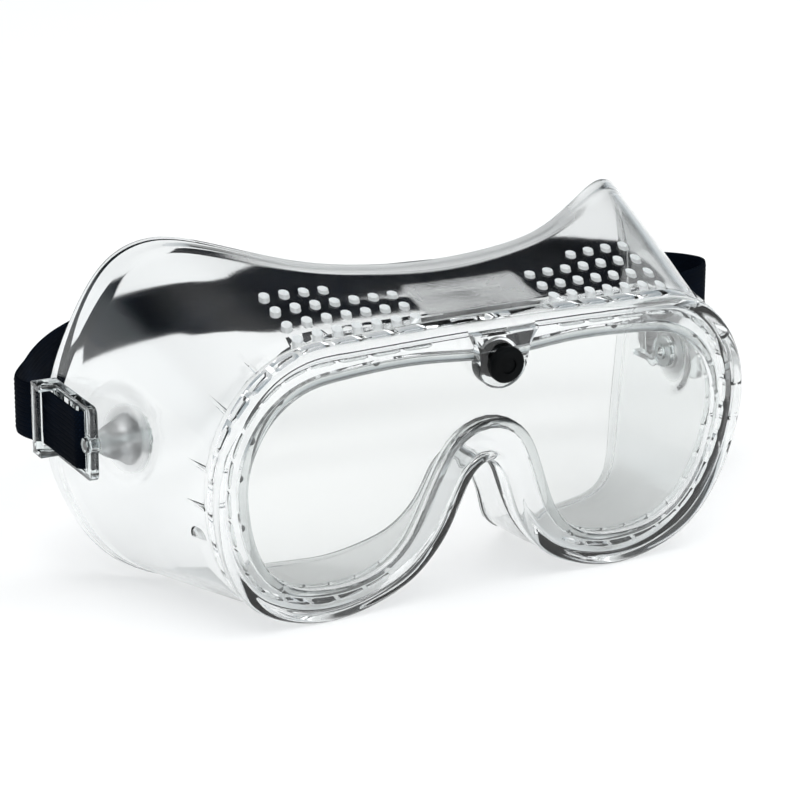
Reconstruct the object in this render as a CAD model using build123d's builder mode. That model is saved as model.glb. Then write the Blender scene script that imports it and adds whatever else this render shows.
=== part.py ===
# Safety goggles: one soft clear moulding, a flat lens held by a stud, two pivoting
# slotted clips on studs through the side walls, and an elastic headband loop.
#
# Goggle frame while modelling: X across the face (mirror plane at x = 0), Y from the
# lens back to the face, Z up.  The pieces are moved to the base origin on export.
from build123d import *
import math
import os

os.makedirs("parts", exist_ok=True)

# ------------------------------------------------------------------ driving dimensions (mm)
LENS_LEAN = 6.843        # the lens plane leans forward at the top (degrees)
LENS_FOOT_Y = -10.494    # foot of the lens plane at the rim's lowest point
LENS_FOOT_Z = -78.3
WALL = 2.0               # thickness of the soft walls
RIM_DEPTH = 6.0          # front to back of the thick rim
FRONT_LIP = 1.6          # rim in front of the lens
LENS_THICK = 2.0
BACK_LIP_END = 5.2       # back of the lip behind the lens
GROOVE_PLAY = 0.05       # lens to groove, each side
LENS_BITE = 2.6          # how far the lens goes into the rim
WALL_START = 3.0         # walls start inside the rim
WALL_END = 84.0          # walls are lofted past the face edge, then trimmed

VENT_R = 1.45
VENT_PITCH = 5.4
VENT_FIRST_X = 20.07
VENT_ROW_PITCH = 5.895

STUD_V = 63.9            # height of the stud up the lens plane
STUD_HEAD_R = 4.75
STUD_SHANK_R = 1.9
TAB_R = 7.2
TAB_FRONT = 2.7          # how far the tab stands in front of the rim

PIVOT_Y = 23.4           # clip pivots, on one line along X
PIVOT_Z = -34.1
CLIP_FLARE = -3.0        # clips close slightly inwards to the back (degrees)
CLIP_FRONT_X = 91.3      # front edge of the clip's middle plane
CLIP_FRONT_Y = 22.0
CLIP_PLATE = 26.0        # length of the clip's flat plate
CLIP_HEIGHT = 18.9
CLIP_THICK = 2.0
CLIP_SLOT_HEIGHT = 15.9
FRONT_SLOT = (3.2, 9.6)      # along the clip, front to back
REAR_SLOT = (14.8, 23.0)
BRIDGE = (23.4, 29.2)        # the loop behind the plate, standing outboard
BRIDGE_BAR = (3.6, 5.6)      # its bar, outboard of the plate's middle
BRIDGE_BAR_DEPTH = 2.6
RIVET_R = 1.2
RIVET_RUNNING = 0.05     # radial clearance of the clip on its stud
RIVET_HEAD_R = 2.0

BAND_WIDTH = 15.0
BAND_THICK = 1.2

ORIGIN_X, ORIGIN_Y, ORIGIN_Z = 17.34, 49.077, -78.7   # base centre in the goggle frame

# Half outlines, from the top centre round the right side to the nose centre, as
# (x, height up the lens plane).
RIM_OUTLINE = [(0.0, 74.8), (21.6, 74.6), (43.2, 74.1), (54.0, 73.2), (63.0, 69.3), (69.3, 63.5), (74.2, 55.7), (76.8, 47.1), (77.3, 39.0), (76.3, 29.9), (73.6, 20.4), (68.4, 10.9), (62.1, 5.0), (54.0, 1.2), (45.0, -0.6), (36.0, 0.0), (27.0, 2.7), (18.9, 7.3), (13.1, 13.6), (9.0, 20.8), (5.9, 29.0), (3.1, 34.0), (0.0, 35.7)]
WINDOW_OUTLINE = [(0.0, 63.9), (21.6, 65.3), (43.2, 64.5), (52.2, 63.0), (59.4, 58.9), (64.8, 51.7), (67.5, 42.6), (67.0, 33.5), (64.8, 24.5), (60.3, 16.3), (54.0, 11.3), (45.0, 9.1), (36.0, 9.5), (27.9, 12.7), (22.5, 18.1), (18.4, 26.3), (14.4, 36.3), (9.5, 44.0), (4.5, 46.9), (0.0, 47.5)]
# Straight lines of the outer wall: (x, height) at the rim, then (x, height, depth
# behind the lens plane) at the face edge.
WALL_LINES = [
    (0.0, 74.6, 0.0, 77.4, 35.6), (19.8, 74.5, 20.7, 78.3, 36.8),
    (38.7, 74.0, 40.5, 80.5, 43.3), (51.3, 72.7, 55.8, 83.5, 52.3),
    (60.3, 69.3, 67.5, 83.7, 59.6), (67.0, 63.1, 76.0, 77.9, 64.8),
    (72.0, 55.1, 82.8, 64.2, 69.0), (74.7, 46.8, 87.3, 45.6, 73.1),
    (75.4, 38.6, 88.6, 31.0, 74.4), (74.5, 29.6, 87.3, 18.5, 72.6),
    (71.8, 20.5, 83.5, 6.9, 67.1), (66.6, 11.4, 76.5, -1.9, 57.5),
    (60.3, 5.4, 66.6, -4.5, 49.3), (52.6, 1.6, 55.4, -4.9, 45.6),
    (44.1, 0.1, 45.0, -4.9, 43.4), (35.1, 0.7, 35.1, -3.8, 39.9),
    (26.6, 3.4, 26.6, -1.3, 34.9), (18.9, 8.3, 19.4, 3.8, 29.1),
    (13.3, 14.6, 14.0, 9.8, 24.0), (9.2, 21.8, 9.9, 17.5, 20.4),
    (6.1, 29.1, 6.7, 24.4, 19.8), (3.4, 34.1, 3.8, 29.3, 20.0),
    (0.0, 36.1, 0.0, 31.3, 20.2),
]
# Plan of the face edge, (x, y), carried up to one level and down to another: the
# trimming surface is ruled between them.
FACE_TOP_Z, FACE_BOTTOM_Z = 24.0, -96.0
FACE_TOP = [(0, 20.0), (4, 19.9), (8, 19.2), (13, 17.7), (20, 16.2), (28, 16.5), (37, 19.6), (46, 24.2), (56, 31.0), (66, 37.6), (74, 42.8), (80, 47.4), (84.5, 52.4), (87.5, 57.1), (93, 62.0)]
FACE_BOTTOM = [(0, -4.7), (4, -3.8), (8, 0.1), (13, 8.6), (20, 19.3), (28, 27.1), (37, 32.4), (46, 35.1), (56, 36.5), (66, 39.1), (74, 44.7), (80, 51.3), (84.5, 56.6), (87.5, 59.5), (93, 62.0)]

lean = math.radians(LENS_LEAN)
LENS_PLANE = Plane(origin=(0, LENS_FOOT_Y, LENS_FOOT_Z), x_dir=(1, 0, 0),
                   z_dir=(0, -math.cos(lean), -math.sin(lean)))


def whole(half):
    """Close a half outline with its mirror image."""
    return half + [(-x, v) for x, v in reversed(half[1:-1])]


def grown(points, amount):
    """Move each point of a closed outline along its outward normal."""
    n = len(points)
    out = []
    for i, (x, v) in enumerate(points):
        ax, av = points[i - 1]
        bx, bv = points[(i + 1) % n]
        tx, tv = bx - ax, bv - av
        size = math.hypot(tx, tv)
        out.append((x - tv / size * amount, v + tx / size * amount))
    return out


def wall_outline(depth, inset=0.0):
    half = []
    for fx, fv, bx, bv, bw in WALL_LINES:
        k = (depth - WALL_START) / (bw - WALL_START)
        half.append((fx + (bx - fx) * k, fv + (bv - fv) * k))
    return grown(whole(half), -inset)


def side_plane(sign, x):
    """Plane facing outwards along X, centred on the clip pivot line."""
    return Plane(origin=(sign * x, PIVOT_Y, PIVOT_Z), x_dir=(0, 1, 0), z_dir=(sign, 0, 0))


def clip_point(along, out, sign):
    """Plan position of a point along a clip and outboard of its middle plane."""
    a = math.radians(CLIP_FLARE)
    x = CLIP_FRONT_X + along * math.sin(a) + out * math.cos(a)
    y = CLIP_FRONT_Y + along * math.cos(a) - out * math.sin(a)
    return (sign * x, y)


def clip_plane(sign):
    a = math.radians(CLIP_FLARE)
    return Plane(origin=(sign * CLIP_FRONT_X, CLIP_FRONT_Y, PIVOT_Z),
                 x_dir=(sign * math.sin(a), math.cos(a), 0),
                 z_dir=(sign * math.cos(a), -math.sin(a), 0))


PIVOT_X = CLIP_FRONT_X + (PIVOT_Y - CLIP_FRONT_Y) * math.tan(math.radians(CLIP_FLARE))
BOSS_HALF = 1.2                       # clip boss each side of the pivot's middle
PAD_FACE = PIVOT_X - BOSS_HALF - 0.3  # outer face of the raised pad
PAD_BACK = 79.0                       # inner face of the pad
HEAD_FACE = PIVOT_X + BOSS_HALF + 0.3

# ------------------------------------------------------------------ body shell
with BuildPart() as outside:
    for depth in (WALL_START, WALL_END):
        with BuildSketch(LENS_PLANE.offset(-depth)):
            with BuildLine():
                Spline(*wall_outline(depth), periodic=True)
            make_face()
    loft(ruled=True)

with BuildPart() as inside:
    for depth in (BACK_LIP_END, WALL_END + 2.0):
        with BuildSketch(LENS_PLANE.offset(-depth)):
            with BuildLine():
                Spline(*wall_outline(depth, WALL), periodic=True)
            make_face()
    loft(ruled=True)

with BuildPart() as behind_face:
    for level, curve in ((FACE_BOTTOM_Z, FACE_BOTTOM), (FACE_TOP_Z, FACE_TOP)):
        right = [(x, y) for x, y in curve]
        left = [(-x, y) for x, y in reversed(curve[1:])]
        with BuildSketch(Plane.XY.offset(level)):
            with BuildLine():
                Spline(*(left + right))
                Polyline(right[-1], (120, 62), (120, 140), (-120, 140), (-120, 62), left[0])
            make_face()
    loft(ruled=True)

with BuildPart() as body_shell:
    add(outside.part)
    # thick rim
    with BuildSketch(LENS_PLANE) as rim_sketch:
        with BuildLine():
            Spline(*whole(RIM_OUTLINE), periodic=True)
        make_face()
    extrude(amount=-RIM_DEPTH)
    add(inside.part, mode=Mode.SUBTRACT)
    # window through both lips
    with BuildSketch(LENS_PLANE.offset(1.0)):
        with BuildLine():
            Spline(*whole(WINDOW_OUTLINE), periodic=True)
        make_face()
    extrude(amount=-(BACK_LIP_END + 3.0), mode=Mode.SUBTRACT)
    # lens groove
    with BuildSketch(LENS_PLANE.offset(-(FRONT_LIP - GROOVE_PLAY))):
        with BuildLine():
            Spline(*grown(whole(WINDOW_OUTLINE), LENS_BITE + GROOVE_PLAY), periodic=True)
        make_face()
    extrude(amount=-(LENS_THICK + 2 * GROOVE_PLAY), mode=Mode.SUBTRACT)
    # room behind the lens for the stud's cap
    with BuildSketch(LENS_PLANE.offset(-(FRONT_LIP + LENS_THICK))):
        with Locations((0, STUD_V)):
            Circle(5.4)
    extrude(amount=-2.6, mode=Mode.SUBTRACT)
    # face edge
    add(behind_face.part, mode=Mode.SUBTRACT)
    # small flats under the rim's lobes and the lower face edge, to stand on
    with BuildSketch(Plane.XY.offset(ORIGIN_Z)):
        with Locations((0, 20)):
            Rectangle(200, 120)
    extrude(amount=-6.0, mode=Mode.SUBTRACT)
    # raised tab under the stud
    with BuildSketch(LENS_PLANE.offset(TAB_FRONT)) as tab_sketch:
        with Locations((0, STUD_V)):
            Circle(TAB_R)
        with Locations((0, STUD_V + 4.4)):
            Rectangle(2 * TAB_R, 8.8)
    extrude(amount=-(TAB_FRONT + FRONT_LIP - GROOVE_PLAY))
    with BuildSketch(LENS_PLANE.offset(TAB_FRONT + 1)):
        with Locations((0, STUD_V)):
            Circle(STUD_SHANK_R + 0.05)
    extrude(amount=-(TAB_FRONT + 3.0), mode=Mode.SUBTRACT)
    # raised pads under the clips, tapering outwards
    for sign in (-1, 1):
        with BuildSketch(side_plane(sign, PAD_BACK)):
            Circle(5.0)
        extrude(amount=3.0)
        with BuildSketch(side_plane(sign, 81.2)):
            Circle(7.0)
        with BuildSketch(side_plane(sign, 87.8)):
            Circle(3.8)
        loft(ruled=True)
        with BuildSketch(side_plane(sign, 87.8)):
            Circle(3.8)
        with BuildSketch(side_plane(sign, PAD_FACE)):
            Circle(2.4)
        loft(ruled=True)
        with BuildSketch(side_plane(sign, PAD_FACE + 1)):
            Circle(RIVET_R + 0.02)
        extrude(amount=-14, mode=Mode.SUBTRACT)
    # two groups of vent holes through the top wall
    with BuildSketch(Plane.XY.offset(5.0)):
        spots = []
        for row in range(4):
            y = VENT_ROW_PITCH * (1 - row) - (0.0 if row < 3 else -0.45)
            for k in range(7):
                if row == 0 and k < 3:
                    continue
                x = VENT_FIRST_X + VENT_PITCH * k
                bow = 0.0000855 * x * x
                spots += [(x, y + bow), (-x, y + bow)]
        with Locations(*spots):
            Circle(VENT_R)
    extrude(amount=-12.5, mode=Mode.SUBTRACT)

# ------------------------------------------------------------------ lens, stud and cap
with BuildPart() as lens:
    with BuildSketch(LENS_PLANE.offset(-FRONT_LIP)):
        with BuildLine():
            Spline(*grown(whole(WINDOW_OUTLINE), LENS_BITE), periodic=True)
        make_face()
        with Locations((0, STUD_V)):
            Circle(STUD_SHANK_R + 0.05, mode=Mode.SUBTRACT)
    extrude(amount=-LENS_THICK)

with BuildPart() as lens_stud:
    with BuildSketch(LENS_PLANE.offset(TAB_FRONT + 0.03)):
        with Locations((0, STUD_V)):
            Circle(STUD_HEAD_R)
    extrude(amount=2.0)
    fillet(lens_stud.faces().sort_by(Axis.Y)[0].edges(), 0.9)
    with BuildSketch(LENS_PLANE.offset(TAB_FRONT + 2.1)):
        with Locations((0, STUD_V)):
            Circle(2.1)
    extrude(amount=-0.5, mode=Mode.SUBTRACT)
    with BuildSketch(LENS_PLANE.offset(TAB_FRONT + 0.5)):
        with Locations((0, STUD_V)):
            Circle(STUD_SHANK_R)
    extrude(amount=-(TAB_FRONT + 0.5 + 5.6))

with BuildPart() as stud_cap:
    with BuildSketch(LENS_PLANE.offset(-(FRONT_LIP + LENS_THICK + 0.05))):
        with Locations((0, STUD_V)):
            Circle(4.6)
            Circle(STUD_SHANK_R + 0.02, mode=Mode.SUBTRACT)
    extrude(amount=-1.5)
    fillet(stud_cap.faces().sort_by(Axis.Y)[-1].edges().sort_by(SortBy.RADIUS)[-1], 0.5)

# ------------------------------------------------------------------ clips and their studs
clips, rivets, washers = [], [], []
for sign, side in ((-1, "left"), (1, "right")):
    with BuildPart() as clip:
        with BuildSketch(clip_plane(sign)):
            with Locations((CLIP_PLATE / 2, 0)):
                RectangleRounded(CLIP_PLATE, CLIP_HEIGHT, 2.0)
        extrude(amount=CLIP_THICK / 2, both=True)
        # two side webs and the outboard bar of the rear loop
        with BuildSketch(clip_plane(sign).offset(-CLIP_THICK / 2)):
            with Locations(((BRIDGE[0] + BRIDGE[1]) / 2, 0)):
                Rectangle(BRIDGE[1] - BRIDGE[0], CLIP_HEIGHT)
                Rectangle(BRIDGE[1] - BRIDGE[0], CLIP_SLOT_HEIGHT, mode=Mode.SUBTRACT)
        extrude(amount=CLIP_THICK / 2 + BRIDGE_BAR[1])
        with BuildSketch(clip_plane(sign).offset(BRIDGE_BAR[0])):
            with Locations((BRIDGE[1] - BRIDGE_BAR_DEPTH / 2, 0)):
                Rectangle(BRIDGE_BAR_DEPTH, CLIP_HEIGHT)
        extrude(amount=BRIDGE_BAR[1] - BRIDGE_BAR[0])
        # pivot boss in the front bar
        with BuildSketch(side_plane(sign, PIVOT_X - BOSS_HALF)):
            Circle(2.4)
        extrude(amount=2 * BOSS_HALF)
        with BuildSketch(clip_plane(sign).offset(-3)):
            with Locations(((REAR_SLOT[0] + REAR_SLOT[1]) / 2, 0)):
                RectangleRounded(REAR_SLOT[1] - REAR_SLOT[0], CLIP_SLOT_HEIGHT, 0.5)
            with Locations(((FRONT_SLOT[0] + 0.7 + FRONT_SLOT[1]) / 2, 0)):
                RectangleRounded(FRONT_SLOT[1] - FRONT_SLOT[0] - 0.7, CLIP_SLOT_HEIGHT, 0.5)
        extrude(amount=5, mode=Mode.SUBTRACT)
        with BuildSketch(side_plane(sign, PIVOT_X - 4)):
            Circle(RIVET_R + RIVET_RUNNING)
        extrude(amount=8, mode=Mode.SUBTRACT)
    clip.part.label = "strap_clip_" + side
    clips.append(clip)

    with BuildPart() as rivet:
        with BuildSketch(side_plane(sign, HEAD_FACE)):
            Circle(RIVET_HEAD_R)
        extrude(amount=0.8)
        fillet(rivet.faces().sort_by(Axis.X)[-1 if sign > 0 else 0].edges(), 0.4)
        with BuildSketch(side_plane(sign, HEAD_FACE + 0.4)):
            Circle(RIVET_R)
        extrude(amount=-(HEAD_FACE + 0.4 - 76.7))
        with BuildSketch(side_plane(sign, 76.7)):
            Circle(2.1)
        extrude(amount=0.8)
    rivet.part.label = "clip_rivet_" + side
    rivets.append(rivet)

    with BuildPart() as washer:
        with BuildSketch(side_plane(sign, 77.55)):
            Circle(4.2)
            Circle(RIVET_R + 0.02, mode=Mode.SUBTRACT)
        extrude(amount=1.4)
    washer.part.label = "clip_washer_" + side
    washers.append(washer)

# ------------------------------------------------------------------ headband
# Plan of the band's middle line.  Each end comes in under the clip's rear loop, lies
# over the plate, goes in through the front slot and turns back behind the middle bar.
LEFT_END = [(14.6, -2.1), (5.2, -2.1), (5.2, 2.1), (29.4, 2.3)]
LOOP = [(-94.6, 57.6), (-94.7, 63.4), (-91.4, 69.0), (-86.8, 75.2), (-82.2, 82.2),
        (-76.6, 89.6), (-69.6, 97.4), (-60.6, 105.2), (-50.0, 112.4), (-38.5, 117.6), (-25.0, 120.4),
        (-8.0, 121.0), (10.0, 119.8), (28.0, 117.9), (46.0, 115.9), (66.0, 113.2), (86.0, 109.0),
        (104.0, 102.3), (118.0, 93.4), (127.0, 85.5), (130.6, 77.6), (126.6, 71.0),
        (117.5, 66.6), (107.5, 63.6), (99.6, 60.4), (94.6, 56.2)]
route = [clip_point(u, n, -1) for u, n in LEFT_END] + LOOP
route += [clip_point(u, n, 1) for u, n in reversed(LEFT_END)]


def corner_radii(points):
    """Largest tangent arcs that the neighbouring runs leave room for."""
    radii = []
    for i in range(1, len(points) - 1):
        (ax, ay), (bx, by), (cx, cy) = points[i - 1:i + 2]
        run_in, run_out = math.hypot(bx - ax, by - ay), math.hypot(cx - bx, cy - by)
        turn = math.atan2((bx - ax) * (cy - by) - (by - ay) * (cx - bx),
                          (bx - ax) * (cx - bx) + (by - ay) * (cy - by))
        radii.append(0.45 * min(run_in, run_out) / math.tan(max(abs(turn), 0.01) / 2))
    return radii


with BuildPart() as headband:
    with BuildSketch(Plane.XY.offset(PIVOT_Z - BAND_WIDTH / 2)) as band_plan:
        with BuildLine() as band_line:
            FilletPolyline(*route, radius=corner_radii(route))
            offset(amount=BAND_THICK / 2, side=Side.BOTH, mode=Mode.REPLACE)
        make_face()
    extrude(amount=BAND_WIDTH)

# ------------------------------------------------------------------ labels and files
body_shell.part.label = "body_shell"
lens.part.label = "lens"
lens_stud.part.label = "lens_stud"
stud_cap.part.label = "stud_cap"
headband.part.label = "headband"

to_base = Location((-ORIGIN_X, -ORIGIN_Y, -ORIGIN_Z))
for piece in [body_shell, lens, lens_stud, stud_cap, headband] + clips + rivets + washers:
    placed = piece.part.moved(to_base)
    placed.label = piece.part.label
    export_step(placed, "parts/" + placed.label + ".step")

if __name__ == "__main__":
    everything = Compound([piece.part for piece in [body_shell, lens, lens_stud, stud_cap, headband] + clips + rivets])
    box = everything.bounding_box()
    print("goggle-frame box", box.min, box.max)
    print("pivot x", round(PIVOT_X, 3), "pad face", round(PAD_FACE, 3), "head face", round(HEAD_FACE, 3))
    print("band route", round(sum(math.dist(a, b) for a, b in zip(route, route[1:])), 1), "mm before rounding")
    print("smallest band radii", [round(r, 2) for r in sorted(corner_radii(route))[:6]])
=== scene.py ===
# Safety goggles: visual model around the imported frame.
import math
import bpy
import bmesh
import numpy as np
from mathutils import Vector, Matrix


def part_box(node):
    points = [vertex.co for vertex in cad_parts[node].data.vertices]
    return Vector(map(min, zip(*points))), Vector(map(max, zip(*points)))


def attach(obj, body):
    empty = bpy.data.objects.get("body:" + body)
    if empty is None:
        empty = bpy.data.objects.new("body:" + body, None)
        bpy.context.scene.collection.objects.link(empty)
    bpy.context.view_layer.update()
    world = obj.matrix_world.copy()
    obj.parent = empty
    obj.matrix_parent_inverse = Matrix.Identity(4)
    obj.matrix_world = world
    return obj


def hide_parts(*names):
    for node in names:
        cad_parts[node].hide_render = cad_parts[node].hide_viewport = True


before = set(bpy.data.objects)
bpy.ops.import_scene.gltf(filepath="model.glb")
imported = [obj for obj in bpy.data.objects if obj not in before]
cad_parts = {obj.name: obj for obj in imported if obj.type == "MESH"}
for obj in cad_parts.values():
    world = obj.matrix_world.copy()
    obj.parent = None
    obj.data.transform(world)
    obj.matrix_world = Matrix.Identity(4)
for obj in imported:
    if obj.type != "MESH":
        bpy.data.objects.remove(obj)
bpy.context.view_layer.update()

scene = bpy.context.scene
MM = 0.001

# ------------------------------------------------------------------ where the goggle frame sits
lens_lo, lens_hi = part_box("lens")
wash_lo, wash_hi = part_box("clip_washer_left")
PIVOT_Y, PIVOT_Z = 23.4, -34.1
BASE = Vector(((lens_lo.x + lens_hi.x) / 2,
               (wash_lo.y + wash_hi.y) / 2 - PIVOT_Y * MM,
               (wash_lo.z + wash_hi.z) / 2 - PIVOT_Z * MM))
BASE_A = np.array(BASE)
LEAN = math.radians(6.843)
SL, CL = math.sin(LEAN), math.cos(LEAN)
FOOT = np.array([0.0, -10.494, -78.3])


def G(x, y, z):
    """A point of the goggle frame (mm, mirror plane at x = 0) in the row frame (m)."""
    return Vector((x * MM + BASE.x, y * MM + BASE.y, z * MM + BASE.z))


def lens_pts(x, v, w):
    """Lens-plane coordinates (across, up, behind; mm) to goggle-frame mm."""
    x, v, w = np.broadcast_arrays(np.asarray(x, float), np.asarray(v, float), np.asarray(w, float))
    return np.stack([x, FOOT[1] - v * SL + w * CL, FOOT[2] + v * CL + w * SL], -1)


# ------------------------------------------------------------------ outlines (mm)
RIM = [(0.0, 74.8), (21.6, 74.6), (43.2, 74.1), (54.0, 73.2), (63.0, 69.3), (69.3, 63.5), (74.2, 55.7), (76.8, 47.1), (77.3, 39.0), (76.3, 29.9), (73.6, 20.4), (68.4, 10.9), (62.1, 5.0), (54.0, 1.2), (45.0, -0.6), (36.0, 0.0), (27.0, 2.7), (18.9, 7.3), (13.1, 13.6), (9.0, 20.8), (5.9, 29.0), (3.1, 34.0), (0.0, 35.7)]
WINDOW = [(0.0, 63.9), (22.0, 65.3), (42.4, 64.6), (51.3, 63.3), (57.2, 60.6), (61.5, 56.8), (65.0, 51.3), (67.1, 45.1), (67.6, 39.3), (66.7, 31.7), (64.6, 23.9), (60.8, 16.9), (56.6, 12.8), (51.2, 10.2), (44.4, 9.1), (37.3, 9.3), (30.8, 11.1), (25.6, 14.5), (21.9, 19.1), (18.8, 25.6), (15.2, 34.6), (8.6, 44.6), (0.0, 47.5)]
WALL = [
    (0.0, 74.6, 0.0, 77.4, 35.6), (19.8, 74.5, 20.7, 78.3, 36.8),
    (38.7, 74.0, 40.5, 80.5, 43.3), (51.3, 72.7, 55.8, 83.5, 52.3),
    (60.3, 69.3, 67.5, 83.7, 59.6), (67.0, 63.1, 76.0, 77.9, 64.8),
    (72.0, 55.1, 82.8, 64.2, 69.0), (74.7, 46.8, 87.3, 45.6, 73.1),
    (75.4, 38.6, 88.6, 31.0, 74.4), (74.5, 29.6, 87.3, 18.5, 72.6),
    (71.8, 20.5, 83.5, 6.9, 67.1), (66.6, 11.4, 76.5, -1.9, 57.5),
    (60.3, 5.4, 66.6, -4.5, 49.3), (52.6, 1.6, 55.4, -4.9, 45.6),
    (44.1, 0.1, 45.0, -4.9, 43.4), (35.1, 0.7, 35.1, -3.8, 39.9),
    (26.6, 3.4, 26.6, -1.3, 34.9), (18.9, 8.3, 19.4, 3.8, 29.1),
    (13.3, 14.6, 14.0, 9.8, 24.0), (9.2, 21.8, 9.9, 17.5, 20.4),
    (6.1, 29.1, 6.7, 24.4, 19.8), (3.4, 34.1, 3.8, 29.3, 20.0),
    (0.0, 36.1, 0.0, 31.3, 20.2),
]
WALL_START = 3.0


def periodic_spline(points, knots, where):
    """Closed C2 cubic through the points; knots has one more entry than points."""
    P = np.asarray(points, float)
    n = len(P)
    h = np.diff(knots)
    A = np.zeros((n, n))
    rhs = np.zeros((n, P.shape[1]))
    for i in range(n):
        hp, hn = h[i - 1], h[i]
        A[i, i - 1] += hp
        A[i, i] += 2 * (hp + hn)
        A[i, (i + 1) % n] += hn
        rhs[i] = 6 * ((P[(i + 1) % n] - P[i]) / hn - (P[i] - P[i - 1]) / hp)
    M = np.linalg.solve(A, rhs)
    where = np.asarray(where, float)
    k = np.clip(np.searchsorted(knots, where, side="right") - 1, 0, n - 1)
    a = (where - knots[k])[:, None]
    hh = h[k][:, None]
    b = hh - a
    k1 = (k + 1) % n
    return (M[k] * b ** 3 + M[k1] * a ** 3) / (6 * hh) + (P[k] / hh - M[k] * hh / 6) * b + (P[k1] / hh - M[k1] * hh / 6) * a


def closed_rows(half, odd=(0,)):
    """Mirror a half list (columns in `odd` change sign) into a closed one."""
    rows = [list(r) for r in half]
    for r in reversed(half[1:-1]):
        q = list(r)
        for c in odd:
            q[c] = -q[c]
        rows.append(q)
    return np.array(rows, float)


ROWS = closed_rows([list(r) + list(w) + list(f) for r, w, f in zip(RIM, WINDOW, WALL)], odd=(0, 2, 4, 6))
back = np.stack([ROWS[:, 6], ROWS[:, 7], ROWS[:, 8]], -1)
nxt = np.roll(ROWS, -1, axis=0)
chord = 0.5 * (np.hypot(nxt[:, 0] - ROWS[:, 0], nxt[:, 1] - ROWS[:, 1]) + np.linalg.norm(np.roll(back, -1, axis=0) - back, axis=1))
KNOTS = np.r_[0.0, np.cumsum(chord)]
AROUND = 360
T = np.linspace(0, KNOTS[-1], AROUND, endpoint=False)
LOOPS = periodic_spline(ROWS, KNOTS, T)
R2, W2, F2, B3 = LOOPS[:, 0:2], LOOPS[:, 2:4], LOOPS[:, 4:6], LOOPS[:, 6:9]


def outward(P2):
    t = np.roll(P2, -1, axis=0) - np.roll(P2, 1, axis=0)
    n = np.stack([-t[:, 1], t[:, 0]], -1)
    return n / np.linalg.norm(n, axis=1)[:, None]


NR, NW = outward(R2), outward(W2)
FRONT = lens_pts(F2[:, 0], F2[:, 1], WALL_START)
REAR = lens_pts(B3[:, 0], B3[:, 1], B3[:, 2])
tang = np.roll(REAR, -1, axis=0) - np.roll(REAR, 1, axis=0) + np.roll(FRONT, -1, axis=0) - np.roll(FRONT, 1, axis=0)
NWALL = np.cross(tang, REAR - FRONT)
NWALL /= np.linalg.norm(NWALL, axis=1)[:, None]
if NWALL[0, 2] < 0:
    NWALL = -NWALL


# ------------------------------------------------------------------ mesh helpers
def make_object(name, verts, faces, smooth=True):
    me = bpy.data.meshes.new(name)
    me.from_pydata([tuple(v) for v in verts], [], faces)
    me.validate()
    bm = bmesh.new()
    bm.from_mesh(me)
    bmesh.ops.recalc_face_normals(bm, faces=bm.faces)
    bm.to_mesh(me)
    bm.free()
    if smooth:
        me.polygons.foreach_set("use_smooth", [True] * len(me.polygons))
    ob = bpy.data.objects.new(name, me)
    scene.collection.objects.link(ob)
    return ob


def to_row(P):
    return np.asarray(P, float) * MM + BASE_A


def ring_mesh(name, sections, close_profile=True):
    """sections: (around, profile, 3) in goggle mm -> closed quad mesh."""
    S = np.asarray(sections, float)
    n, m, _ = S.shape
    verts = to_row(S.reshape(-1, 3))
    faces = []
    mm = m if close_profile else m - 1
    for i in range(n):
        a, b = i * m, ((i + 1) % n) * m
        for j in range(mm):
            k = (j + 1) % m
            faces.append((a + j, a + k, b + k, b + j))
    return make_object(name, verts, faces)


def revolve(name, profile, origin, axis, seg=48, ref=None):
    """Closed solid of revolution. profile: (radius, height) from the axis at the bottom to
    the axis at the top, mm; origin in goggle mm; axis: outward direction."""
    a = np.array(axis, float)
    a /= np.linalg.norm(a)
    u = np.cross(a, [0, 0, 1] if abs(a[2]) < 0.9 else [1, 0, 0])
    u /= np.linalg.norm(u)
    w = np.cross(a, u)
    o = np.array(origin, float)
    verts, faces = [], []
    rings = []
    for r, h in profile:
        if r < 1e-6:
            rings.append([len(verts)])
            verts.append(o + a * h)
        else:
            ids = []
            for k in range(seg):
                t = 2 * math.pi * k / seg
                ids.append(len(verts))
                verts.append(o + a * h + (u * math.cos(t) + w * math.sin(t)) * r)
            rings.append(ids)
    for p, q in zip(rings, rings[1:]):
        for k in range(seg):
            k2 = (k + 1) % seg
            if len(p) == 1 and len(q) > 1:
                faces.append((p[0], q[k], q[k2]))
            elif len(q) == 1 and len(p) > 1:
                faces.append((p[k], q[0], p[k2]))
            elif len(p) > 1:
                faces.append((p[k], q[k], q[k2], p[k2]))
    if len(rings[0]) > 1 and len(rings[-1]) > 1:      # a tube: close the profile on itself
        p, q = rings[-1], rings[0]
        for k in range(seg):
            k2 = (k + 1) % seg
            faces.append((p[k], q[k], q[k2], p[k2]))
    return make_object(name, to_row(verts), faces)


def apply_modifiers(ob):
    dg = bpy.context.evaluated_depsgraph_get()
    me = bpy.data.meshes.new_from_object(ob.evaluated_get(dg), depsgraph=dg)
    old = ob.data
    ob.modifiers.clear()
    ob.data = me
    bpy.data.meshes.remove(old)
    return ob


def join(name, objs):
    bm = bmesh.new()
    for o in objs:
        bm.from_mesh(o.data)
    me = bpy.data.meshes.new(name)
    bm.to_mesh(me)
    bm.free()
    for o in objs:
        bpy.data.objects.remove(o)
    ob = bpy.data.objects.new(name, me)
    scene.collection.objects.link(ob)
    return ob


def boolean(ob, tool, operation, self_hit=False):
    m = ob.modifiers.new("b", "BOOLEAN")
    m.operation = operation
    m.solver = "EXACT"
    m.use_self = self_hit
    m.object = tool
    apply_modifiers(ob)
    bpy.data.objects.remove(tool)
    return ob


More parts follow.
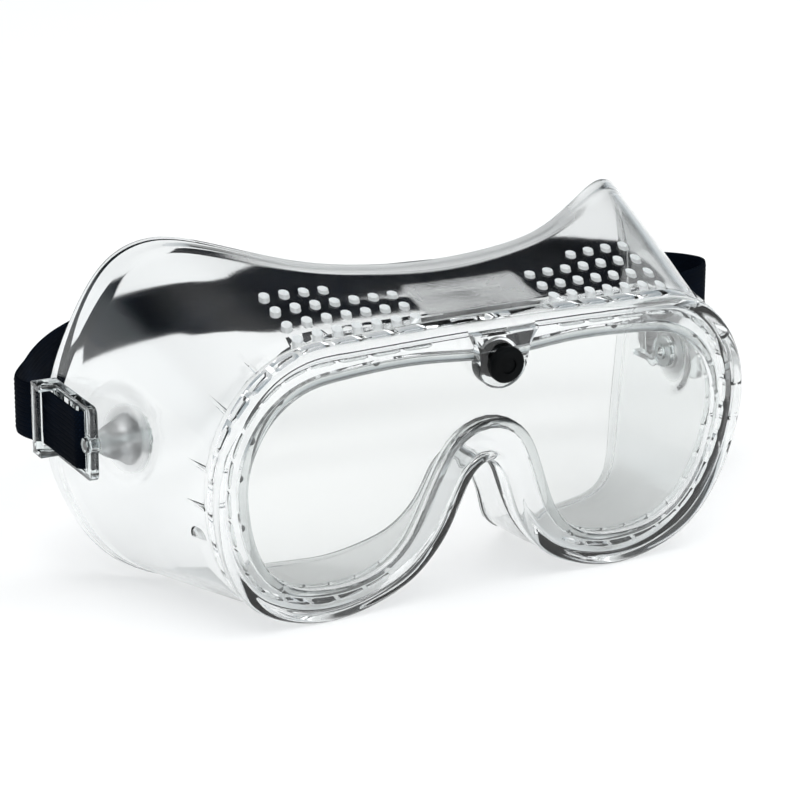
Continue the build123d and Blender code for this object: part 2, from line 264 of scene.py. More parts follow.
def shade(ob, angle=38.0):
    """Smooth faces, with edges sharper than the angle kept sharp."""
    me = ob.data
    bm = bmesh.new()
    bm.from_mesh(me)
    bmesh.ops.remove_doubles(bm, verts=bm.verts, dist=2e-6)
    lim = math.radians(angle)
    for e in bm.edges:
        e.smooth = not (len(e.link_faces) == 2 and e.calc_face_angle(0) > lim)
    for f in bm.faces:
        f.smooth = True
    bm.to_mesh(me)
    bm.free()
    return ob


# ------------------------------------------------------------------ materials
def new_material(name):
    m = bpy.data.materials.new(name)
    m.use_nodes = True
    nt = m.node_tree
    nt.nodes.clear()
    out = nt.nodes.new("ShaderNodeOutputMaterial")
    bsdf = nt.nodes.new("ShaderNodeBsdfPrincipled")
    nt.links.new(bsdf.outputs[0], out.inputs[0])
    return m, nt, bsdf


def node(nt, kind, **values):
    n = nt.nodes.new(kind)
    for k, v in values.items():
        if hasattr(n, k):
            setattr(n, k, v)
        else:
            n.inputs[k].default_value = v
    return n


def ramp(nt, src, stops, interp="EASE"):
    r = nt.nodes.new("ShaderNodeValToRGB")
    r.color_ramp.interpolation = interp
    el = r.color_ramp.elements
    while len(el) > 1:
        el.remove(el[-1])
    for i, (p, c) in enumerate(stops):
        e = el[0] if i == 0 else el.new(p)
        e.position = p
        e.color = (c, c, c, 1) if isinstance(c, (int, float)) else tuple(c) + (1,)
    nt.links.new(src, r.inputs[0])
    return r


def math_node(nt, op, a, b=None, c=None):
    n = nt.nodes.new("ShaderNodeMath")
    n.operation = op
    for i, v in enumerate((a, b, c)):
        if v is None:
            continue
        if isinstance(v, (int, float)):
            n.inputs[i].default_value = v
        else:
            nt.links.new(v, n.inputs[i])
    return n.outputs[0]


def object_coords(nt):
    tc = nt.nodes.new("ShaderNodeTexCoord")
    return tc.outputs["Object"]


def xyz(nt, vec):
    s = nt.nodes.new("ShaderNodeSeparateXYZ")
    nt.links.new(vec, s.inputs[0])
    return s.outputs


def smooth_step(nt, v, lo, hi):
    m = nt.nodes.new("ShaderNodeMapRange")
    m.interpolation_type = "SMOOTHSTEP"
    nt.links.new(v, m.inputs["Value"])
    m.inputs["From Min"].default_value = lo
    m.inputs["From Max"].default_value = hi
    m.inputs["To Min"].default_value = 0.0
    m.inputs["To Max"].default_value = 1.0
    return m.outputs[0]


def mat_soft_pvc():
    m, nt, b = new_material("soft_clear_pvc")
    b.inputs["Base Color"].default_value = (0.885, 0.898, 0.897, 1)
    b.inputs["IOR"].default_value = 1.53
    b.inputs["Transmission Weight"].default_value = 1.0
    b.inputs["Specular IOR Level"].default_value = 0.5
    co = object_coords(nt)
    big = node(nt, "ShaderNodeTexNoise", Scale=42.0, Detail=3.0, Roughness=0.55)
    nt.links.new(co, big.inputs["Vector"])
    fine = node(nt, "ShaderNodeTexNoise", Scale=900.0, Detail=4.0, Roughness=0.6)
    nt.links.new(co, fine.inputs["Vector"])
    x, y, z = xyz(nt, co)
    ax = math_node(nt, "ABSOLUTE", math_node(nt, "SUBTRACT", x, BASE.x))
    # matt texture on the side walls, behind the rim and below the shoulder
    side = math_node(nt, "MULTIPLY", smooth_step(nt, ax, 0.066, 0.080),
                     smooth_step(nt, y, BASE.y - 0.004, BASE.y + 0.008))
    # matt moulded panel in the middle of the top wall
    patch = math_node(nt, "MULTIPLY", math_node(nt, "SUBTRACT", 1.0, smooth_step(nt, ax, 0.0145, 0.0170)),
                      math_node(nt, "MULTIPLY", smooth_step(nt, y, BASE.y - 0.0125, BASE.y - 0.0100),
                                math_node(nt, "SUBTRACT", 1.0, smooth_step(nt, y, BASE.y + 0.0005, BASE.y + 0.0045))))
    patch = math_node(nt, "MULTIPLY", patch, smooth_step(nt, z, BASE.z - 0.012, BASE.z - 0.008))
    rough = math_node(nt, "ADD", 0.035, math_node(nt, "MULTIPLY", side, 0.03))
    mottle = ramp(nt, big.outputs[0], [(0.32, 0.08), (0.68, 0.30)])
    rough = math_node(nt, "ADD", rough, math_node(nt, "MULTIPLY", patch, mottle.outputs[0]))
    # matt pads under the clips
    ry = math_node(nt, "SUBTRACT", y, BASE.y + PIVOT_Y * MM)
    rz = math_node(nt, "SUBTRACT", z, BASE.z + PIVOT_Z * MM)
    rr = math_node(nt, "SQRT", math_node(nt, "ADD", math_node(nt, "MULTIPLY", ry, ry), math_node(nt, "MULTIPLY", rz, rz)))
    pad = math_node(nt, "MULTIPLY", math_node(nt, "SUBTRACT", 1.0, smooth_step(nt, rr, 0.0072, 0.0100)), smooth_step(nt, ax, 0.070, 0.074))
    rough = math_node(nt, "ADD", rough, math_node(nt, "MULTIPLY", pad, 0.34))
    # matt flange along the forehead
    edge_y = math_node(nt, "ADD", BASE.y + 0.0156, math_node(nt, "MULTIPLY", math_node(nt, "MULTIPLY", ax, ax), 4.7))
    back = math_node(nt, "SUBTRACT", y, edge_y)
    flange = math_node(nt, "MULTIPLY", smooth_step(nt, back, -0.0062, -0.0046), smooth_step(nt, z, BASE.z - 0.018, BASE.z - 0.010))
    flange = math_node(nt, "MULTIPLY", flange, math_node(nt, "SUBTRACT", 1.0, smooth_step(nt, ax, 0.040, 0.062)))
    rough = math_node(nt, "ADD", rough, math_node(nt, "MULTIPLY", flange, 0.34))
    rough = math_node(nt, "ADD", rough, math_node(nt, "MULTIPLY", math_node(nt, "SUBTRACT", big.outputs[0], 0.5), 0.03))
    nt.links.new(rough, b.inputs["Roughness"])
    bump = node(nt, "ShaderNodeBump", Strength=0.10, Distance=0.0004)
    h = math_node(nt, "ADD", math_node(nt, "MULTIPLY", big.outputs[0], 0.5),
                  math_node(nt, "MULTIPLY", fine.outputs[0], math_node(nt, "ADD", 0.03, math_node(nt, "MULTIPLY", math_node(nt, "ADD", patch, pad), 0.5))))
    nt.links.new(h, bump.inputs["Height"])
    nt.links.new(bump.outputs[0], b.inputs["Normal"])
    return m


def mat_lens():
    m, nt, b = new_material("polished_polycarbonate")
    b.inputs["Base Color"].default_value = (0.85, 0.862, 0.853, 1)
    b.inputs["IOR"].default_value = 1.585
    b.inputs["Transmission Weight"].default_value = 1.0
    b.inputs["Coat Weight"].default_value = 0.15
    b.inputs["Coat Roughness"].default_value = 0.03
    co = object_coords(nt)
    n1 = node(nt, "ShaderNodeTexNoise", Scale=25.0, Detail=2.0)
    nt.links.new(co, n1.inputs["Vector"])
    scr = node(nt, "ShaderNodeTexNoise", Scale=700.0, Detail=6.0, Roughness=0.7)
    mp = node(nt, "ShaderNodeMapping")
    mp.inputs["Scale"].default_value = (1.0, 1.0, 0.06)
    mp.inputs["Rotation"].default_value = (0.2, 0.9, 0.3)
    nt.links.new(co, mp.inputs["Vector"])
    nt.links.new(mp.outputs[0], scr.inputs["Vector"])
    r = ramp(nt, scr.outputs[0], [(0.0, 0.012), (0.66, 0.014), (0.78, 0.06), (1.0, 0.08)], "LINEAR")
    nt.links.new(r.outputs[0], b.inputs["Roughness"])
    bump = node(nt, "ShaderNodeBump", Strength=0.03, Distance=0.0003)
    nt.links.new(n1.outputs[0], bump.inputs["Height"])
    nt.links.new(bump.outputs[0], b.inputs["Normal"])
    return m


def mat_clip():
    m, nt, b = new_material("clear_rigid_plastic")
    b.inputs["Base Color"].default_value = (0.86, 0.90, 0.90, 1)
    b.inputs["IOR"].default_value = 1.55
    b.inputs["Transmission Weight"].default_value = 1.0
    co = object_coords(nt)
    n1 = node(nt, "ShaderNodeTexNoise", Scale=260.0, Detail=4.0)
    nt.links.new(co, n1.inputs["Vector"])
    r = ramp(nt, n1.outputs[0], [(0.3, 0.04), (0.8, 0.11)])
    nt.links.new(r.outputs[0], b.inputs["Roughness"])
    bump = node(nt, "ShaderNodeBump", Strength=0.08, Distance=0.0002)
    nt.links.new(n1.outputs[0], bump.inputs["Height"])
    nt.links.new(bump.outputs[0], b.inputs["Normal"])
    return m


def mat_black():
    m, nt, b = new_material("satin_black_plastic")
    co = object_coords(nt)
    n1 = node(nt, "ShaderNodeTexNoise", Scale=900.0, Detail=5.0, Roughness=0.6)
    nt.links.new(co, n1.inputs["Vector"])
    n2 = node(nt, "ShaderNodeTexNoise", Scale=160.0, Detail=3.0)
    nt.links.new(co, n2.inputs["Vector"])
    c = ramp(nt, n2.outputs[0], [(0.3, (0.0012, 0.0015, 0.0018)), (0.75, (0.003, 0.0036, 0.004))])
    nt.links.new(c.outputs[0], b.inputs["Base Color"])
    r = ramp(nt, n1.outputs[0], [(0.3, 0.42), (0.8, 0.6)])
    nt.links.new(r.outputs[0], b.inputs["Roughness"])
    b.inputs["Specular IOR Level"].default_value = 0.05
    bump = node(nt, "ShaderNodeBump", Strength=0.25, Distance=0.0001)
    nt.links.new(n1.outputs[0], bump.inputs["Height"])
    nt.links.new(bump.outputs[0], b.inputs["Normal"])
    return m


def mat_elastic():
    """Woven elastic: uses the UV map, u along the band in mm, v across in mm."""
    m, nt, b = new_material("woven_elastic")
    uv = nt.nodes.new("ShaderNodeUVMap")
    uv.uv_map = "band"
    s = nt.nodes.new("ShaderNodeSeparateXYZ")
    nt.links.new(uv.outputs[0], s.inputs[0])
    u, v = s.outputs[0], s.outputs[1]
    # ribs along the band, cross threads stepping half a pitch from rib to rib
    rib = math_node(nt, "SINE", math_node(nt, "MULTIPLY", v, 2 * math.pi / 1.25))
    ribn = math_node(nt, "FLOOR", math_node(nt, "DIVIDE", v, 0.625))
    shift = math_node(nt, "MULTIPLY", math_node(nt, "MODULO", ribn, 2.0), 0.5)
    pick = math_node(nt, "SINE", math_node(nt, "MULTIPLY", math_node(nt, "ADD", math_node(nt, "DIVIDE", u, 0.8), shift), 2 * math.pi))
    h = math_node(nt, "ADD", math_node(nt, "MULTIPLY", math_node(nt, "ABSOLUTE", rib), 0.6), math_node(nt, "MULTIPLY", pick, 0.25))
    co = object_coords(nt)
    n1 = node(nt, "ShaderNodeTexNoise", Scale=1500.0, Detail=4.0)
    nt.links.new(co, n1.inputs["Vector"])
    n2 = node(nt, "ShaderNodeTexNoise", Scale=60.0, Detail=3.0)
    nt.links.new(co, n2.inputs["Vector"])
    h2 = math_node(nt, "ADD", h, math_node(nt, "MULTIPLY", n1.outputs[0], 0.35))
    bump = node(nt, "ShaderNodeBump", Strength=0.55, Distance=0.00018)
    nt.links.new(h2, bump.inputs["Height"])
    nt.links.new(bump.outputs[0], b.inputs["Normal"])
    # colour from the weave pattern and a random noise tone; the brightest navy streaks at the top of the ramp are a
    # painted sheen standing in for a blue highlight on the band
    weave_and_painted_sheen_tone = math_node(nt, "ADD", math_node(nt, "MULTIPLY", h, 0.35), math_node(nt, "MULTIPLY", n2.outputs[0], 0.6))
    c = ramp(nt, weave_and_painted_sheen_tone, [(0.05, (0.0006, 0.0009, 0.0018)), (0.45, (0.0014, 0.0026, 0.0052)), (0.75, (0.003, 0.008, 0.020)), (0.95, (0.006, 0.018, 0.050))])
    nt.links.new(c.outputs[0], b.inputs["Base Color"])
    b.inputs["Roughness"].default_value = 0.82
    b.inputs["Sheen Weight"].default_value = 0.006
    b.inputs["Specular IOR Level"].default_value = 0.02
    b.inputs["Sheen Roughness"].default_value = 0.45
    b.inputs["Sheen Tint"].default_value = (0.45, 0.55, 0.75, 1)
    return m


def mat_cut_edge():
    """Walls of the moulded vent holes: the same plastic with a frosted surface, its whitish colour a painted highlight
    for the light the hole walls catch.
    """
    m, nt, b = new_material("frosted_pvc_edge_painted_highlight")
    co = object_coords(nt)
    n1 = node(nt, "ShaderNodeTexNoise", Scale=1400.0, Detail=4.0)
    nt.links.new(co, n1.inputs["Vector"])
    # whitish base colour: a painted highlight on the vent walls, not the clear plastic's own colour
    c = ramp(nt, n1.outputs[0], [(0.3, (0.93, 0.95, 0.955)), (0.75, (0.975, 0.985, 0.985))])
    nt.links.new(c.outputs[0], b.inputs["Base Color"])
    r = ramp(nt, n1.outputs[0], [(0.3, 0.35), (0.8, 0.6)])
    nt.links.new(r.outputs[0], b.inputs["Roughness"])
    b.inputs["IOR"].default_value = 1.53
    b.inputs["Transmission Weight"].default_value = 0.15
    return m


EDGE = mat_cut_edge()
PVC, LENS, CLIP, BLACK, ELASTIC = mat_soft_pvc(), mat_lens(), mat_clip(), mat_black(), mat_elastic()

# ------------------------------------------------------------------ soft shell
BITE, GROOVE0, GROOVE1, LIP_END, RIM_D = 2.65, 1.55, 3.65, 5.2, 6.0


def loop_pt(P2, N2, d, w):
    """Ring of points: outline moved by d along its outward normal, at depth w."""
    Q = P2 + N2 * np.asarray(d)[..., None]
    return lens_pts(Q[:, 0], Q[:, 1], w)


def wall_pt(s, inset):
    """Ring on the wall: s = 0 at the rim, 1 at the face edge; inset inwards in mm."""
    bow = 0.5 * math.sin(math.pi * min(max(s, 0), 1))
    return FRONT + (REAR - FRONT) * s + NWALL * (bow - np.asarray(inset))[..., None] if np.ndim(inset) else \
        FRONT + (REAR - FRONT) * s + NWALL * (bow - inset)


def panel_lift(P):
    """Shallow raised panel on the side walls, round the clip pivots."""
    d = np.hypot((P[:, 1] - PIVOT_Y - 3.0) / 13.5, (P[:, 2] - PIVOT_Z) / 12.0)
    k = np.clip((1.08 - d) / 0.16, 0, 1)
    return 0.65 * k * k * (3 - 2 * k) * (np.abs(P[:, 0]) > 70)


def build_shell():
    ones = np.ones(AROUND)
    length = np.linalg.norm(REAR - FRONT, axis=1)
    S = []
    # outer wall, face edge to rim
    for s in [0.985, 0.955, 0.93, 0.915, 0.90] + list(np.linspace(0.87, 0.14, 44)):
        lift = 0.0
        if s > 0.92:
            lift = 0.35
        Q = wall_pt(s, -lift)
        S.append(Q + NWALL * panel_lift(Q)[:, None])
    s_rim = (RIM_D + 0.9 - WALL_START) / (B3[:, 2] - WALL_START)
    S.append(FRONT + (REAR - FRONT) * s_rim[:, None] + NWALL * 0.06)
    # rim, back corner round to the front
    for d, w in [(-0.55, RIM_D + 0.25), (-0.12, RIM_D - 0.35), (0.0, RIM_D - 1.2), (0.0, 3.4), (0.0, 1.5), (-0.25, 0.75), (-0.85, 0.22), (-1.7, 0.0), (-2.6, 0.0), (-3.2, 0.32), (-3.9, 0.42)]:
        S.append(loop_pt(R2, NR, d * ones, w))
    # front face in to the window
    RA, WA = R2 - NR * 4.4, W2 + NW * 1.6
    for k, w in ((0.0, 0.30), (0.35, 0.12), (0.7, 0.10), (1.0, 0.16)):
        Q = RA * (1 - k) + WA * k
        S.append(lens_pts(Q[:, 0], Q[:, 1], w))
    for d, w in [(0.9, 0.28), (0.35, 0.55), (0.05, 0.95), (0.0, 1.25), (0.12, 1.50), (0.35, GROOVE0), (BITE - 0.1, GROOVE0), (BITE, GROOVE0 + 0.1), (BITE, GROOVE1 - 0.1), (BITE - 0.1, GROOVE1),
                 (0.55, GROOVE1), (0.2, GROOVE1 + 0.12), (0.05, GROOVE1 + 0.5), (0.15, LIP_END - 0.45), (0.6, LIP_END - 0.1), (1.3, LIP_END + 0.05)]:
        S.append(loop_pt(W2, NW, d * ones, w))
    # inner wall, rim to face edge
    thick = lambda s: 2.0 - 0.5 * max(0.0, (s - 0.45) / 0.55) - (0.3 if s > 0.9 else 0)
    s_in = (LIP_END + 0.4 - WALL_START) / (B3[:, 2] - WALL_START)
    inner0 = FRONT + (REAR - FRONT) * s_in[:, None] - NWALL * 2.6
    S.append((S[-1] + inner0) / 2 + np.array([0, 0.1, 0]))
    S.append(inner0)
    S.append(FRONT + (REAR - FRONT) * (s_in + 0.02)[:, None] - NWALL * 2.0)
    for s in list(np.linspace(0.16, 0.88, 26)) + [0.91, 0.94, 0.965, 0.985]:
        S.append(wall_pt(s, thick(s)))
    # rounded face edge
    S.append(wall_pt(0.997, 1.0))
    S.append(wall_pt(1.0, 0.55))
    S.append(wall_pt(0.998, 0.05))
    return ring_mesh("goggle_shell", np.stack(S, 1))


shell = build_shell()

# raised tab and boss under the stud, pads under the clips, ribs behind the rim
STUD_V = 63.9
stud_o = lens_pts(0, STUD_V, 0.0)
fwd = np.array([0, -CL, -SL])


def boss_tab():
    """Tab standing forward of the rim, from above the stud down round it."""
    prof = []
    n = 40
    pts = []
    r = 7.0
    for k in range(n + 1):
        a = math.pi + math.pi * k / n
        pts.append((r * math.cos(a), STUD_V + r * math.sin(a)))
    pts += [(r + 0.7, STUD_V + 4.5), (r + 2.6, STUD_V + 8.4), (-(r + 2.6), STUD_V + 8.4), (-(r + 0.7), STUD_V + 4.5)]
    layers = [(0.0, 1.50), (0.0, -1.9), (-0.25, -2.4), (-0.9, -2.7)]
    verts, faces = [], []
    m = len(pts)
    c = np.array([0, STUD_V + 1.0])
    for d, w in layers:
        for p in pts:
            q = np.array(p)
            dirn = (q - c) / np.linalg.norm(q - c)
            q = q + dirn * d
            verts.append(lens_pts(q[0], q[1], w))
    for L in range(len(layers) - 1):
        for k in range(m):
            a, b2 = L * m + k, L * m + (k + 1) % m
            faces.append((a, b2, b2 + m, a + m))
    faces.append(tuple(range(m)))
    faces.append(tuple(range((len(layers) - 1) * m, len(layers) * m)))
    return make_object("tab", to_row(verts), faces)


PIVOT_X = 91.227
PAD_FACE = 89.727
adds = [boss_tab()]
for sgn in (-1, 1):
    adds.append(revolve("pad", [(0, 79.1), (4.6, 79.1), (4.95, 79.5), (5.0, 81.3), (7.9, 81.5), (6.9, 82.3), (6.05, 83.2), (5.2, 84.6), (4.5, 86.2), (3.9, 87.6), (3.4, 88.5), (2.8, 89.3), (2.35, PAD_FACE), (0, PAD_FACE)],
                        (0, PIVOT_Y, PIVOT_Z), (sgn, 0, 0), seg=48))


def fin(i, rows=7):
    """Thin web between the back of the rim and the outer wall."""
    t = (np.roll(FRONT, -1, axis=0) - np.roll(FRONT, 1, axis=0))[i]
    t /= np.linalg.norm(t)
    run = (REAR - FRONT)[i]
    span = np.linalg.norm(run)
    run = run / span
    verts = []
    for k in range(rows):
        q = k / (rows - 1)
        along = 2.4 + 8.6 * q
        top = 1.35 * (1 - q) ** 1.3
        half = 0.55 - 0.12 * q
        base = FRONT[i] + run * along
        for h, w in ((-0.9, half), (-0.9, -half), (top * 0.7, -half), (top, -half * 0.45), (top, half * 0.45), (top * 0.7, half)):
            verts.append(base + NWALL[i] * (h + 0.3) + t * w)
    m = 6
    faces = [tuple(range(m)), tuple((rows - 1) * m + j for j in range(m))]
    for k in range(rows - 1):
        for j in range(m):
            faces.append((k * m + j, k * m + (j + 1) % m, (k + 1) * m + (j + 1) % m, (k + 1) * m + j))
    return make_object("fin", to_row(verts), faces)


def rim_slots(pitch=8.9, length=7.5):
    """Row of short slots in the back of the rim, between the wall and the lens groove."""
    P = np.vstack([R2, R2[:1]])
    N = np.vstack([NR, NR[:1]])
    L = np.r_[0, np.cumsum(np.linalg.norm(np.diff(P, axis=0), axis=1))]
    count = int(round(L[-1] / pitch))
    step = L[-1] / count
    out = []
    for c in range(count):
        mid = (c + 0.5) * step
        s = np.linspace(mid - length / 2, mid + length / 2, 7) % L[-1]
        q = np.stack([np.interp(s, L, P[:, 0]), np.interp(s, L, P[:, 1])], -1)
        n = np.stack([np.interp(s, L, N[:, 0]), np.interp(s, L, N[:, 1])], -1)
        if np.any(np.hypot(q[:, 0], q[:, 1] - 74.0) < 17.0):
            continue                                    # solid rim round the stud
        if np.all(np.abs(q[:, 0]) < 27.0) and np.all(q[:, 1] < 52.0):
            continue                                    # solid rim over the nose
        verts = []
        for k in range(7):
            d0, d1 = (-4.8, -5.7) if 0 < k < 6 else (-5.05, -5.45)
            for d, w in ((d0, 3.1), (d1, 3.1), (d1 - 0.1, 7.4), (d0 + 0.1, 7.4)):
                v = q[k] + n[k] * d
                verts.append(lens_pts(v[0], v[1], w))
        faces = [(0, 1, 2, 3), (24, 25, 26, 27)]
        for k in range(6):
            for j in range(4):
                faces.append((k * 4 + j, k * 4 + (j + 1) % 4, (k + 1) * 4 + (j + 1) % 4, (k + 1) * 4 + j))
        out.append(make_object("slot", to_row(verts), faces))
    return out


for i in (307, 297, 281, 272):
    adds += [fin(i), fin((AROUND - i) % AROUND)]
for o in adds:
    boolean(shell, o, "UNION")

cuts = rim_slots()
VENTS = []
for row in range(4):
    y = 5.895 * (1 - row) + (0.45 if row == 3 else 0.0)
    for k in range(7):
        if row == 0 and k < 3:
            continue
        x = 20.07 + 5.4 * k
        for sgn in (-1, 1):
            VENTS.append((sgn * x, y + 0.0000855 * x * x))
            cuts.append(revolve("v", [(0, -9.0), (1.34, -9.0), (1.34, 6.0), (0, 6.0)],
                                (sgn * x, y + 0.0000855 * x * x, 0), (0, 0, 1), seg=24))
cuts.append(revolve("c", [(0, -1.0), (1.95, -1.0), (1.95, 4.0), (0, 4.0)], stud_o, fwd, seg=32))
cuts.append(revolve("c", [(0, -(3.6 + 2.6)), (5.4, -(3.6 + 2.6)), (5.4, -3.6), (0, -3.6)], stud_o, fwd, seg=40))
for sgn in (-1, 1):
    cuts.append(revolve("c", [(0, 76.0), (1.22, 76.0), (1.22, 92.0), (0, 92.0)], (0, PIVOT_Y, PIVOT_Z), (sgn, 0, 0), seg=24))
    # short curved drain mark low on the side walls
    o = np.array([sgn * 75.1, -2.4, -53.2])
    nrm = np.array([sgn * 0.94, -0.19, 0.03])
    cuts.append(revolve("c", [(0, 0.0), (2.9, 0.0), (3.5, 4.0), (0, 4.0)], o, nrm, seg=32))
boolean(shell, join("cuts", cuts), "DIFFERENCE", self_hit=True)
for v in shell.data.vertices:                           # the lowest lip stands flat on the floor
    v.co.z = max(v.co.z, 0.0)
shade(shell, 34)
shell.data.materials.clear()
shell.data.materials.append(PVC)
shell.data.materials.append(EDGE)
vent_xy = np.array(VENTS)
# faces round the vents take the whitish painted-highlight material
for poly in shell.data.polygons:
    c = (np.array(poly.center) - BASE_A) / MM
    edge = False
    if c[2] > -10 and abs(poly.normal.z) < 0.5:
        edge = bool((np.hypot(*(vent_xy - c[:2]).T) < 1.5).any())
    poly.material_index = 1 if edge else 0
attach(shell, "goggle_frame")
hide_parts("body_shell")

# ------------------------------------------------------------------ carried-over CAD nodes
def dress(name, mat):
    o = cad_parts[name]
    if len(o.material_slots) == 0:
        o.data.materials.append(mat)
    for s in o.material_slots:
        s.material = mat


def build_lens():
    """Flat snap-in lens: eased edges, small locating notches, a hole for the stud."""
    w0, w1, ease = 1.62, 3.58, 0.28
    rings = [(2.6 - ease, w0), (2.6, w0 + ease), (2.6, w1 - ease), (2.6 - ease, w1)]
    m = AROUND
    verts = np.vstack([loop_pt(W2, NW, d * np.ones(m), w) for d, w in rings])
    faces = []
    for r in range(3):
        for i in range(m):
            j = (i + 1) % m
            faces.append((r * m + i, r * m + j, (r + 1) * m + j, (r + 1) * m + i))
    faces.append(tuple(range(m)))
    faces.append(tuple(3 * m + i for i in range(m)))
    ob = make_object("clear_lens", to_row(verts), faces)
    tools = [revolve("c", [(0, -6.0), (1.95, -6.0), (1.95, 2.0), (0, 2.0)], stud_o, fwd, seg=32)]
    for i in (24, 52, 66, 80, 94, 120, 150):
        for k in (i, (AROUND - i) % AROUND):
            q = W2[k] + NW[k] * 2.75
            tools.append(revolve("c", [(0, -6.0), (1.05, -6.0), (1.05, 2.0), (0, 2.0)], lens_pts(q[0], q[1], 0.0), fwd, seg=20))
    boolean(ob, join("tools", tools), "DIFFERENCE", self_hit=True)
    shade(ob, 30)
    ob.data.materials.clear()
    ob.data.materials.append(LENS)
    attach(ob, "goggle_frame")
    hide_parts("lens")
    ob.visible_shadow = False
    return ob


shell.visible_shadow = False
build_lens()
for n in ("lens_stud", "stud_cap"):
    dress(n, BLACK)
for side in ("left", "right"):
    for n in ("clip_rivet_", "clip_washer_"):
        dress(n + side, CLIP)


def soft_edged(name, node_name):
    """The moulded clip: the CAD shape with every edge rounded."""
    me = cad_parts[node_name].data.copy()
    me.name = name
    bm = bmesh.new()
    bm.from_mesh(me)
    bmesh.ops.remove_doubles(bm, verts=bm.verts, dist=1e-6)
    bmesh.ops.dissolve_limit(bm, angle_limit=math.radians(2.0), verts=bm.verts, edges=bm.edges, delimit={"NORMAL"})
    bm.to_mesh(me)
    bm.free()
    me.materials.clear()
    ob = bpy.data.objects.new(name, me)
    scene.collection.objects.link(ob)
    mod = ob.modifiers.new("round", "BEVEL")
    mod.width = 0.00034
    mod.segments = 3
    mod.limit_method = "ANGLE"
    mod.angle_limit = math.radians(35)
    mod.use_clamp_overlap = True
    apply_modifiers(ob)
    shade(ob, 40)
    return ob


for side in ("left", "right"):
    clip = soft_edged("moulded_clip_" + side, "strap_clip_" + side)
    clip.data.materials.append(CLIP)
    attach(clip, side + "_clip")
    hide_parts("strap_clip_" + side)

# ------------------------------------------------------------------ headband
CLIP_FX, CLIP_FY, FLARE = 91.3, 22.0, math.radians(-3.0)


def clip_point(u, n, sgn):
    return (sgn * (CLIP_FX + u * math.sin(FLARE) + n * math.cos(FLARE)),
            CLIP_FY + u * math.cos(FLARE) - n * math.sin(FLARE))


END = [(14.6, -2.1), (5.2, -2.1), (5.2, 2.1), (29.4, 2.3)]
LOOP = [(-94.6, 57.6), (-94.7, 63.4), (-91.4, 69.0), (-86.8, 75.2), (-82.2, 82.2),
        (-76.6, 89.6), (-69.6, 97.4), (-60.6, 105.2), (-50.0, 112.4), (-38.5, 117.6), (-25.0, 120.4),
        (-8.0, 121.0), (10.0, 119.8), (28.0, 117.9), (46.0, 115.9), (66.0, 113.2), (86.0, 109.0),
        (104.0, 102.3), (118.0, 93.4), (127.0, 85.5), (130.6, 77.6), (126.6, 71.0),
        (117.5, 66.6), (107.5, 63.6), (99.6, 60.4), (94.6, 56.2)]
ROUTE = [clip_point(u, n, -1) for u, n in END] + LOOP + [clip_point(u, n, 1) for u, n in reversed(END)]


def rounded_route(points, step=1.0):
    """Arcs at the corners, then even samples along the whole line."""
    P = [np.array(p, float) for p in points]
    line = [P[0]]
    for i in range(1, len(P) - 1):
        a, b, c = P[i - 1], P[i], P[i + 1]
        u, v = a - b, c - b
        lu, lv = np.linalg.norm(u), np.linalg.norm(v)
        u, v = u / lu, v / lv
        ang = math.acos(max(-1, min(1, float(u @ v))))
        cut = 0.45 * min(lu, lv)
        r = cut * math.tan(ang / 2)
        centre = b + (u + v) / np.linalg.norm(u + v) * (r / math.sin(ang / 2))
        s, e = b + u * cut, b + v * cut
        k = max(3, int((math.pi - ang) / math.radians(7)))
        a0 = math.atan2(*(s - centre)[::-1])
        a1 = math.atan2(*(e - centre)[::-1])
        da = (a1 - a0 + math.pi) % (2 * math.pi) - math.pi
        for j in range(k + 1):
            t = a0 + da * j / k
            line.append(centre + r * np.array([math.cos(t), math.sin(t)]))
    line.append(P[-1])
    L = np.array(line)
    d = np.r_[0, np.cumsum(np.linalg.norm(np.diff(L, axis=0), axis=1))]
    keep = np.r_[True, np.diff(d) > 1e-6]
    L, d = L[keep], d[keep]
    n = int(d[-1] / step)
    q = np.linspace(0, d[-1], n + 1)
    return np.stack([np.interp(q, d, L[:, 0]), np.interp(q, d, L[:, 1])], -1), q


